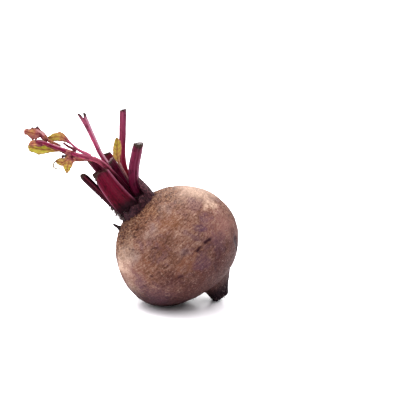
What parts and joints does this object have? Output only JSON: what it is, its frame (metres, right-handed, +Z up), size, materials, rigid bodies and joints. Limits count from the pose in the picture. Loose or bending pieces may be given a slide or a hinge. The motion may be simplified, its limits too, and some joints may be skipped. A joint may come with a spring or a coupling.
{
  "type": "beetroot",
  "caption": "Round root vegetable lying on its side, with a tail stub, a crown of cut leaf stalks, one torn leaf on its stalk and one young leaf.",
  "frame": {"origin": "middle of the small flat spot that the root rests on", "axes": "+Z up from the surface that it lies on; +X along the surface from the leaf end towards the tail; +Y back across the root"},
  "size_m": [0.1293, 0.0822, 0.1245],
  "materials": {
    "skin": "brown-tan corky beetroot skin with dull purple patches, matt",
    "stalk": "crimson beetroot leaf stalk, soft sheen",
    "dark_stalk": "dark maroon beetroot leaf stalk, soft sheen",
    "pink_stalk": "pink-red beetroot leaf stalk, soft sheen",
    "leaf": "yellow-green wilted leaf blade, satin"
  },
  "bodies": {
    "root": {"root": "skin", "stalk_leafy": "pink_stalk", "stalk_broad_front": "stalk", "stalk_curved_right": "stalk", "stalk_short_middle": "dark_stalk", "stalk_tall": "pink_stalk", "stalk_dark_left": "dark_stalk", "stalk_broad_back": "dark_stalk", "stalk_thin_forked": "pink_stalk", "stalk_short_back": "dark_stalk", "stalk_stub_back_right": "dark_stalk", "stalk_stub_back_left": "stalk", "young_leaf_stalk": "pink_stalk", "torn_leaf_blade": "leaf", "young_leaf_blade": "leaf"}
  },
  "joints": []
}
